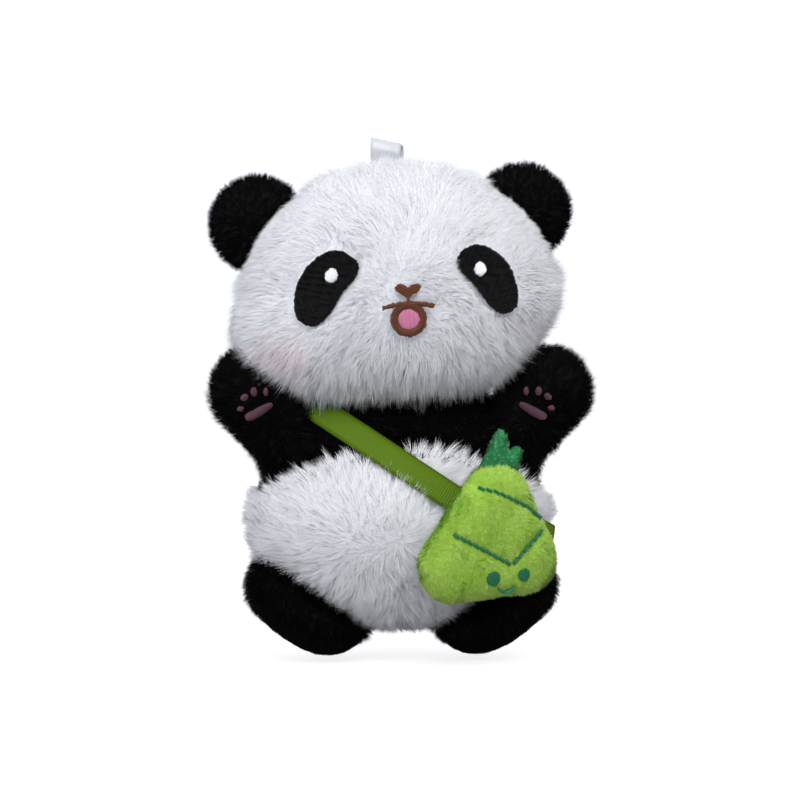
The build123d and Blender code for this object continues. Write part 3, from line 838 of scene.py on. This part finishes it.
torso_skin = blob(TORSO_C, TORSO_R - WHITE_SKIN)
chest_form = blob(TORSO_C, TORSO_R - BLACK_SKIN)
yoke_form = blob(YOKE_C, YOKE_R - BLACK_SKIN)
skin("belly_skin", torso_skin, WHITE_CLOTH, "torso", ("belly_panel", "lower_back_panel"),
     keep=lambda m: (m[:, 2] < arch(m[:, 0]) - 1.0) & ~leg_outline(m, -3.0))
skin("chest_skin", chest_form, BLACK_CLOTH, "torso", ("chest_panel", "upper_back_panel"),
     keep=lambda m: m[:, 2] > arch(m[:, 0]) - 2.4)
skin("yoke_skin", yoke_form, BLACK_CLOTH, "torso",
     keep=lambda m: (m[:, 2] > arch(m[:, 0]) - 2.4) & ~in_head(m, 7.0))


def in_ellipsoid(p, centre, radii):
    return (((p - centre) / radii) ** 2).sum(1) < 1


def belly_keep(p, n):
    return torso_keep(p, n) & (p[:, 2] < arch(p[:, 0]) - 2.3 + 0.6 * noise(p, 3)) & ~leg_outline(p, -0.4)


def black_keep(p, n):
    return torso_keep(p, n) & (p[:, 2] > arch(p[:, 0]) - 1.8)


def belly_lift(p, n):
    """The white pile stands up along the black edge."""
    return 16.0 * np.exp(-np.abs(p[:, 2] - arch(p[:, 0])) / 3.0)


BLACK_PILE = {"slot_name": "black_plush", "density": 15, "length": 2.6, "lean": (16, 46), "width": 0.13,
              "clump": 9, "pull": 0.3}
fur("belly_fur", torso_skin, WHITE, WHITE_SHARES, "torso", "white_plush", density=17.5, length=5.0,
    comb=belly_comb, lean=(20, 52), width=0.105, clump=9, pull=0.36, keep=belly_keep, scale_len=torso_len,
    swirl=0.55, mood=0.6, lift=belly_lift)
fur("chest_fur", chest_form, BLACK, (0.8, 0.2), "torso", comb=chest_comb, scale_len=chest_len,
    keep=lambda p, n: black_keep(p, n) & ~in_ellipsoid(p, YOKE_C, YOKE_R - 4.0), **BLACK_PILE)
fur("yoke_fur", yoke_form, BLACK, (0.8, 0.2), "torso", comb=chest_comb, scale_len=chest_len,
    keep=lambda p, n: black_keep(p, n) & ~in_ellipsoid(p, TORSO_C, TORSO_R - 4.0), **BLACK_PILE)

# ---- strap ----
RIB = 0.60                                # pitch of the grosgrain's ribs
arc = arc_length(STRAP_MID)
ns = int(arc[-1] / RIB) * 4
ths = np.interp(np.linspace(0, arc[-1], ns), arc, TH)
ribs = np.cos(np.arange(ns) * math.pi / 2)
across = np.linspace(-2.75, 2.75, 7)
top = np.stack([strap_point(ths, np.full_like(ths, t), 0.25 + 0.11 * ribs) for t in across], 1)
bottom = np.stack([strap_point(ths, np.full_like(ths, t), -0.25) for t in across[::-1]], 1)
band = np.concatenate([top, bottom], 1)
strap = add_mesh("strap_ribbon", band.reshape(-1, 3), tube_faces(ns, band.shape[1])[:, ::-1], RIBBON)
place(strap, "torso", ("shoulder_strap",))


def strap_edge(side):
    """A corded edge along one side of the ribbon, as rings of six points."""
    cord = 0.10 * ribs
    return np.stack([strap_point(ths, np.full_like(ths, 2.85 * side) + (0.24 + cord) * math.cos(x),
                                 0.05 + (0.26 + cord) * math.sin(x))
                     for x in np.linspace(0, 2 * math.pi, 6, endpoint=False)], 1)


edge_co = np.concatenate([strap_edge(side).reshape(-1, 3) for side in (1, -1)])
edge_faces = np.concatenate([tube_faces(ns, 6), tube_faces(ns, 6) + ns * 6])
place(add_mesh("strap_edges", edge_co, edge_faces, RIBBON_EDGE), "torso")

# ================= arms =================
SH, PW = (25.6, 50.0), (33.8, 62.0)   # middles of the shoulder and the paw: x, z
SH_R, PW_R = 9.2, 11.8                # their radii
FLAT = 0.88                           # depth against width
ARM_Y = -3.4
ARM_L = math.hypot(PW[0] - SH[0], PW[1] - SH[1])


def arm_axis(sg):
    return unit(np.array([sg * (PW[0] - SH[0]), 0.0, PW[1] - SH[1]]))


def arm_radius(t, grow):
    """Radius of the tapered capsule at distance t along its axis from the shoulder."""
    r1, r2 = SH_R + grow, PW_R + grow
    sb = (r2 - r1) / ARM_L
    cb = math.sqrt(1 - sb * sb)
    t1, t2 = -r1 * sb, ARM_L - r2 * sb
    cone = r1 * cb + (t - t1) * sb / cb
    s1 = np.sqrt(np.maximum(r1 ** 2 - t ** 2, 0))
    s2 = np.sqrt(np.maximum(r2 ** 2 - (t - ARM_L) ** 2, 0))
    return np.where(t < t1, s1, np.where(t > t2, s2, cone))


def arm_base(sg):
    return np.array([sg * SH[0], ARM_Y, SH[1]])


def arm_form(sg, grow):
    ax, base = arm_axis(sg), arm_base(sg)
    side = np.array([ax[2], 0.0, -ax[0]])
    lo, hi = -(SH_R + grow), ARM_L + PW_R + grow
    t = lo + (hi - lo) * (1 - np.cos(np.linspace(0, math.pi, 56))) / 2
    r = arm_radius(t, grow)
    a = np.linspace(0, 2 * math.pi, 64, endpoint=False)
    a, i = np.meshgrid(a, np.arange(len(t)), indexing="ij")
    p = base + t[i][..., None] * ax + (r[i] * np.cos(a))[..., None] * side
    p = p + (FLAT * r[i] * np.sin(a))[..., None] * np.array([0.0, 1.0, 0.0])
    return outward(Form(p), base + ax * 9)


TOES = [(30.2, 62.4, 0.50, 1.00, 0), (33.0, 62.4, 0.70, 1.05, -8),
        (35.2, 61.1, 0.90, 0.70, -35), (36.1, 58.4, 0.70, 0.60, 0)]   # x, z, two radii, turn
PALM = ((29.2, 59.8), (31.2, 59.1), (33.2, 58.0), (34.8, 57.1), (34.9, 56.2), (33.8, 55.7),
        (32.0, 56.5), (29.9, 57.9), (28.7, 59.0))
SHIFT = {"left": -2.0, "right": 1.5}   # the pads sit this much further out


def arm_surf(sg, sink):
    """Lifts flat points (x, z) onto the front of the arm, sink below the pile tips."""
    ax, base = arm_axis(sg), arm_base(sg)

    def y_of(q):
        v = np.stack([q[:, 0] - base[0], np.zeros(len(q)), q[:, 1] - base[2]], 1)
        t = v @ ax
        off = np.linalg.norm(v - t[:, None] * ax, axis=1)
        return ARM_Y - FLAT * np.sqrt(np.maximum(arm_radius(t, -sink) ** 2 - off ** 2, 0.01))

    def lift(q):
        y, gx, gz = slopes(y_of, q, 0.05)
        return np.stack([q[:, 0], y, q[:, 1]], 1), unit(np.stack([gx, -np.ones(len(q)), gz], 1))
    return lift


def make_arm(s, sg):
    ax, base = arm_axis(sg), arm_base(sg)
    pads = [ellipse_loop(sg * (x + SHIFT[s]), z, rx, rz, sg * turn, 24) for x, z, rx, rz, turn in TOES]
    pads.append(smooth_loop([(sg * (x + SHIFT[s]), z) for x, z in PALM], 5))

    def over_pads(p):
        return np.any([inside(poly, p[:, [0, 2]]) for poly in pads], axis=0)

    def pad_keep(p, n):
        return ~(over_pads(p) & (p[:, 1] < ARM_Y)) & ~in_head(p, 4.5)

    def pad_len(p, n, t):
        d = np.min([edge_distance(poly, p[:, [0, 2]]) for poly in pads], axis=0)
        covers = over_pads(p + t * 1.6) & (rng.random(len(p)) > 0.25)
        s = np.where(p[:, 1] < ARM_Y, 0.45 + 0.55 * np.clip(d / 2.0, 0, 1), 1.0)
        return np.where(covers & (p[:, 1] < ARM_Y), s * 0.55, s)

    def arm_comb(p, n):
        return ax * 6 + (p - (base + ax * ARM_L)) * 0.8 * np.array([1, 0, 1])

    form = arm_form(sg, -BLACK_SKIN)
    stuffing(f"arm_{s}", arm_form(sg, -BLACK_SKIN - 0.9))
    black_cloth(f"arm_{s}", form)
    fur(f"arm_{s}_fur", form, BLACK, (0.75, 0.25), f"arm_{s}", comb=arm_comb, keep=pad_keep,
        scale_len=pad_len, **BLACK_PILE)
    lines = []
    for poly in pads:
        lines += fill_lines(poly, (35 if poly is pads[-1] else 65) * sg, 0.29, 0.12)
    thread_strips(f"pads_{s}", lines, arm_surf(sg, 1.25), "mauve", f"arm_{s}", 0.35, 0.34, (f"paw_pads_{s}",))


for s, sg in SIDES:
    make_arm(s, sg)


# ================= legs =================
LEG_C = np.array([21.0, -1.5, 13.9])


def leg_power(w):
    """The legs are a little squarer than an ellipsoid all over."""
    return np.full_like(w, 2.25)


def tucked(form, middle):
    """Draws the upper front of the leg back, under the edge of the belly."""
    y = 9.0 * smooth_step((leg_height(form.co) + 3.0) / 7.0) * smooth_step((middle - form.co[:, 1]) / 7.0)
    return Form((form.co + y[:, None] * np.array([0, 1, 0])).reshape(form.nu, form.nv, 3))


def leg_form(sg, depth):
    c = LEG_C * np.array([sg, 1, 1])
    radii = np.array([17.1, 15.6, 13.3]) - depth
    sole = depth - 1.55
    return tucked(blob(c + np.array([0, -2.0, 0]), radii, leg_power, rot_y(sg * 36), 88, 52, sole), c[1])


def leg_keep(p, n):
    """No hair inside the torso or under the edge of the belly."""
    q = (p - TORSO_C) / (TORSO_R - 7.0)
    return ((q ** 2).sum(1) > 1) & ((leg_height(p) < 1.0) | (p[:, 1] > -3))


def leg_lift(p, n):
    """Lays the pile flat under the foot."""
    return -40.0 * smooth_step((-n[:, 2] - 0.35) / 0.5)


def leg_len(p, n, t):
    return 1 - 0.65 * smooth_step((-n[:, 2] - 0.15) / 0.65)


def make_leg(s, sg):
    leg = leg_form(sg, BLACK_SKIN)
    stuffing(f"leg_{s}", leg_form(sg, BLACK_SKIN + 0.9))
    black_cloth(f"leg_{s}", leg)

    def leg_comb(p, n):
        return (p - LEG_C * np.array([sg, 1, 1])) * np.array([0.6, 0.6, 0.2]) + np.array([0, 0, -8.0])
    fur(f"leg_{s}_fur", leg, BLACK, (0.75, 0.25), f"leg_{s}", comb=leg_comb, keep=leg_keep, scale_len=leg_len,
        lift=leg_lift, **BLACK_PILE)


for s, sg in SIDES:
    make_leg(s, sg)

# ================= bag =================
# flat outlines and paths on the bag are given as across and up
SEAMS = [np.array([(-3.6, 11.6), (0.7, 10.6), (4.7, 8.8), (8.2, 7.2), (12.4, 4.2)]),
         np.array([(12.4, 1.8), (8.4, -1.6), (4.4, -5.7)]),
         np.array([(-9.6, 1.2), (-3.9, -1.7), (4.0, -5.9)])]
BAG_EYES = [ellipse_loop(-0.2, -9.0, 1.6, 1.65), ellipse_loop(7.1, -8.3, 1.45, 1.5)]
SMILE = np.array([(1.2, -11.3), (2.0, -12.0), (3.1, -12.3), (4.2, -12.1), (5.0, -11.4), (5.2, -10.8)])


def groove(q):
    """Depth of the valley that the stitches pull into the front of the bag."""
    d = np.min([edge_distance(line, q, False) for line in SEAMS], axis=0)
    return 0.75 * np.exp(-(d / 1.5) ** 2)


def quilted(q, grow):
    """Height of the bag's front, with the stitches' valleys."""
    h = bag_height(q, grow)
    return h - groove(q) * np.clip(h / 3.0, 0, 1)


def pillow(line, middle, n, limit, height):
    """Closed form over a flat outline, in rings that stop at limit of its reach.

    height(q, front) is its half thickness on the front or the back."""
    scales = np.sin(np.linspace(0, math.pi / 2, n))
    rings = [(scale, 1) for scale in scales] + [(scale, -1) for scale in scales[-2::-1]]
    cols = []
    for scale, side in rings:
        q = middle + (line - middle) * min(scale, limit)
        cols.append(np.concatenate([q, (side * height(q, side > 0))[:, None]], 1))
    return outward(Form(from_bag(np.stack(cols, 1))), from_bag(np.array([*middle, 0.0])))


def bag_form(grow):
    return pillow(bag_outline(grow), BAG_MID, 22, 0.9995,
                  lambda q, front: quilted(q, grow) if front else bag_height(q, grow))


def bag_surf(sink):
    """Lifts flat points onto the front of the bag, sink below the pile tips."""
    def lift(q):
        h, gx, gz = slopes(lambda v: quilted(v, -sink), q, 0.08)
        nm = unit(-gx[:, None] * BAG_X - gz[:, None] * BAG_UP + BAG_OUT)
        return from_bag(np.concatenate([q, h[:, None]], 1)), nm
    return lift


def bag_marks(q):
    """Distance from the nearest stitch, eye or smile."""
    d = np.min([edge_distance(line, q, False) for line in SEAMS + [SMILE]], axis=0)
    for poly in BAG_EYES:
        d = np.where(inside(poly, q), 0, np.minimum(d, edge_distance(poly, q)))
    return d


def bag_keep(p, n):
    b = to_bag(p)
    return ~((bag_marks(b[:, :2]) < 0.30) & (b[:, 2] > 0))


def bag_len(p, n, t):
    b = to_bag(p)
    return np.where(b[:, 2] > 0, 0.55 + 0.45 * np.clip(bag_marks(b[:, :2]) / 1.5, 0, 1), 1.0)


def bag_comb(p, n):
    b = to_bag(p)
    v = np.stack([0.3 * b[:, 0], b[:, 1] - 4], 1)
    return v[:, :1] * BAG_X + (v[:, 1:] - 6) * BAG_UP


def bag_painted_sheen(p, n):
    """Painted sheen of the crushed pile: paler in patches and along the lower rim."""
    b = to_bag(p)
    rim = np.clip((edge_distance(BAG_LINE, b[:, :2]) - 2.0) / -2.0, 0, 1)
    return 0.09 * noise(p, 1.25, 5.0) + 0.30 * rim * (b[:, 1] < 0)


bag_skin = bag_form(-1.2)
skin("bag_skin", bag_skin, LIME_CLOTH, "bag", ("bag_front", "bag_back"))
# the bag's pile takes a painted sheen from its tone, paler in patches and along the lower rim
fur("bag_fur", bag_skin, LIME, (0.30, 0.46, 0.24), "bag", "lime_plush", density=30, length=1.05,
    comb=bag_comb, lean=(18, 46), width=0.14, clump=12, pull=0.2, keep=bag_keep, scale_len=bag_len,
    swirl=0.8, mood=0.8, tone=bag_painted_sheen)
stuffing("bag", bag_form(-2.2))
STITCH = 1.75   # pitch of the seam stitches
stitches = []
for line in SEAMS:
    s = arc_length(line)
    count = max(2, round(s[-1] / STITCH))
    for i in range(count):
        thread = along(line, s, np.linspace(s[-1] * (i + 0.09) / count, s[-1] * (i + 0.91) / count, 7))
        thread[:, 1] += np.linspace(0.16, -0.16, 7)
        stitches.append(thread)
thread_strips("bag_stitches", stitches, bag_surf(0.35), "green", "bag", 0.66, 0.40, ("bag_seam_stitches",))
eye_lines = []
for poly in BAG_EYES:
    eye_lines += fill_lines(poly, 20, 0.32, 0.1)
thread_strips("bag_eye_threads", eye_lines, bag_surf(0.55), "green", "bag", 0.38, 0.42, ("bag_eyes",))
smile = along(SMILE, np.arange(len(SMILE)), np.linspace(0, len(SMILE) - 1, 22))
thread_strips("bag_smile_thread", [smile], bag_surf(0.55), "green", "bag", 0.6, 0.42, ("bag_smile",))

# leaf on the bag's top seam
LEAF = smooth_loop([(-1.35, 15.3), (0.35, 19.7), (1.65, 22.7), (2.75, 24.1), (4.15, 23.6), (4.85, 21.9),
                    (5.35, 19.4), (6.25, 20.1), (7.35, 20.2), (8.25, 19.3), (7.95, 17.4), (6.95, 14.7),
                    (2.65, 14.3)], 7)
LEAF_LINE = even_loop(LEAF, 90)
LEAF_MID = np.array([3.2, 17.6])
LEAF_H = 1.5      # half thickness
LEAF_EDGE = 2.2   # width of its rounded rim


def leaf_height(q, front):
    return LEAF_H * (1 - (1 - np.clip(edge_distance(LEAF_LINE, q) / LEAF_EDGE, 0, 1)) ** 2) ** 0.5


leaf = pillow(LEAF_LINE, LEAF_MID, 10, 0.999, leaf_height)
skin("leaf_skin", leaf, LEAF_CLOTH, "bag", ("bag_leaf",))
fur("leaf_fur", leaf, LEAF_PILE, (0.55, 0.45), "bag", "green_felt", density=30, length=0.8,
    comb=lambda p, n: np.tile(BAG_UP, (len(p), 1)) + 0.1 * BAG_X, lean=(35, 68), width=0.2,
    clump=7, pull=0.6, swirl=1.0, mood=1.2)

# ================= ribbon loop on the crown =================
LOOP_C = sum(node_box("hanging_loop")) / 2
LOOP_OUT, LOOP_IN = 2.3, 1.85   # radii of the ribbon's two faces
ang = np.linspace(math.radians(-150), math.radians(150), 60)
tail = np.clip((np.abs(ang) - math.radians(95)) / math.radians(55), 0, 1)


def loop_face(r):
    """One face of the ribbon: round at the top, with both tails drawn together and down into the crown."""
    cols = []
    for x in np.linspace(-3.6, 3.4, 9):
        y = r * np.sin(ang) * (1 - 0.7 * tail) * (1 + 0.10 * np.cos(x))
        z = r * np.cos(ang) - 3.0 * tail - 0.20 * x
        cols.append(np.stack([x + 0.5 * np.sin(ang) - 0.4, y, z], 1) + LOOP_C)
    return np.stack(cols, 1)


ring = np.concatenate([loop_face(LOOP_OUT), loop_face(LOOP_IN)[:, ::-1]], 1)
loop = add_mesh("crown_loop", ring.reshape(-1, 3), tube_faces(*ring.shape[:2]), SATIN)
place(loop, "loop", ("hanging_loop",))

# CAD nodes that stay: the hidden fill and the loop's sewn-in tab
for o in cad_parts.values():
    if not o.hide_render:
        o.data.materials.clear()
        o.data.materials.append(SATIN if o.name.startswith("loop_tab") else FIBRE)

# ================= floor, lights, camera =================
def camera_only(tree, strength):
    """Light Path mix: strength for camera rays, nothing for the others."""
    path = tree.nodes.new("ShaderNodeLightPath")
    gain = tree.nodes.new("ShaderNodeMath")
    gain.operation = "MULTIPLY"
    gain.inputs[1].default_value = strength
    tree.links.new(path.outputs["Is Camera Ray"], gain.inputs[0])
    return gain.outputs[0]


floor_mat = material("floor", (0.40, 0.40, 0.405), 0.95, 0.0, 0.0)
floor_shader = floor_mat.node_tree.nodes["Principled BSDF"]
floor_shader.inputs["Emission Color"].default_value = (0.98, 0.985, 1.0, 1)
floor_glow = camera_only(floor_mat.node_tree, 0.79)
floor_mat.node_tree.links.new(floor_glow, floor_shader.inputs["Emission Strength"])
bpy.ops.mesh.primitive_plane_add(size=12, location=(0, 0, -0.0002))
floor = bpy.context.object
floor.name = "floor"
floor.data.materials.append(floor_mat)
floor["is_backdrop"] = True

world = bpy.data.worlds.new("studio")
bpy.context.scene.world = world
world.use_nodes = True
backdrop = world.node_tree.nodes["Background"]
backdrop.inputs[0].default_value = (0.93, 0.95, 1.0, 1)
lit = world.node_tree.nodes.new("ShaderNodeMath")
lit.operation = "ADD"
lit.inputs[1].default_value = 0.66
world.node_tree.links.new(camera_only(world.node_tree, 0.45), lit.inputs[0])
world.node_tree.links.new(lit.outputs[0], backdrop.inputs[1])


def area(name, loc, size, power, color):
    """Square lamp that looks at the toy's middle."""
    data = bpy.data.lights.new(name, "AREA")
    data.size = size
    data.energy = power
    data.color = color
    ob = bpy.data.objects.new(name, data)
    ob.location = loc
    ob.rotation_euler = (Vector((0, 0, 0.06)) - Vector(loc)).to_track_quat("-Z", "Y").to_euler()
    bpy.context.scene.collection.objects.link(ob)


area("key", (0.05, -0.52, 0.46), 0.45, 2.65, (1.0, 0.99, 0.98))
area("fill", (-0.40, -0.50, 0.16), 0.5, 1.5, (0.93, 0.95, 1.0))
area("back", (0.15, 0.62, 0.22), 0.5, 2.0, (0.95, 0.97, 1.0))

cam_data = bpy.data.cameras.new("camera")
cam = bpy.data.objects.new("camera", cam_data)
bpy.context.scene.collection.objects.link(cam)
AZ, EL = math.radians(-4.5), math.radians(2.0)
DIST = 0.75        # metres from the toy's middle
PICTURE = 0.18667  # metres across the picture there
SENSOR = 36        # millimetres
aim = Vector((0.0, OFFSET[1] * MM, 0.0600))
back = Vector((math.sin(AZ) * math.cos(EL), -math.cos(AZ) * math.cos(EL), math.sin(EL)))
cam.location = aim + back * DIST
cam.rotation_mode = "QUATERNION"
cam.rotation_quaternion = (-back).to_track_quat("-Z", "Y")
cam_data.sensor_width = SENSOR
cam_data.lens = SENSOR * DIST / PICTURE
bpy.context.scene.camera = cam
bpy.context.scene.view_settings.view_transform = "Standard"
bpy.context.scene.cycles.max_bounces = 8
bpy.context.scene.cycles.diffuse_bounces = 4

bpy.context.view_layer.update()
total = sum(len(o.data.polygons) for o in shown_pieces() if o.type == "MESH")
print("faces", total)
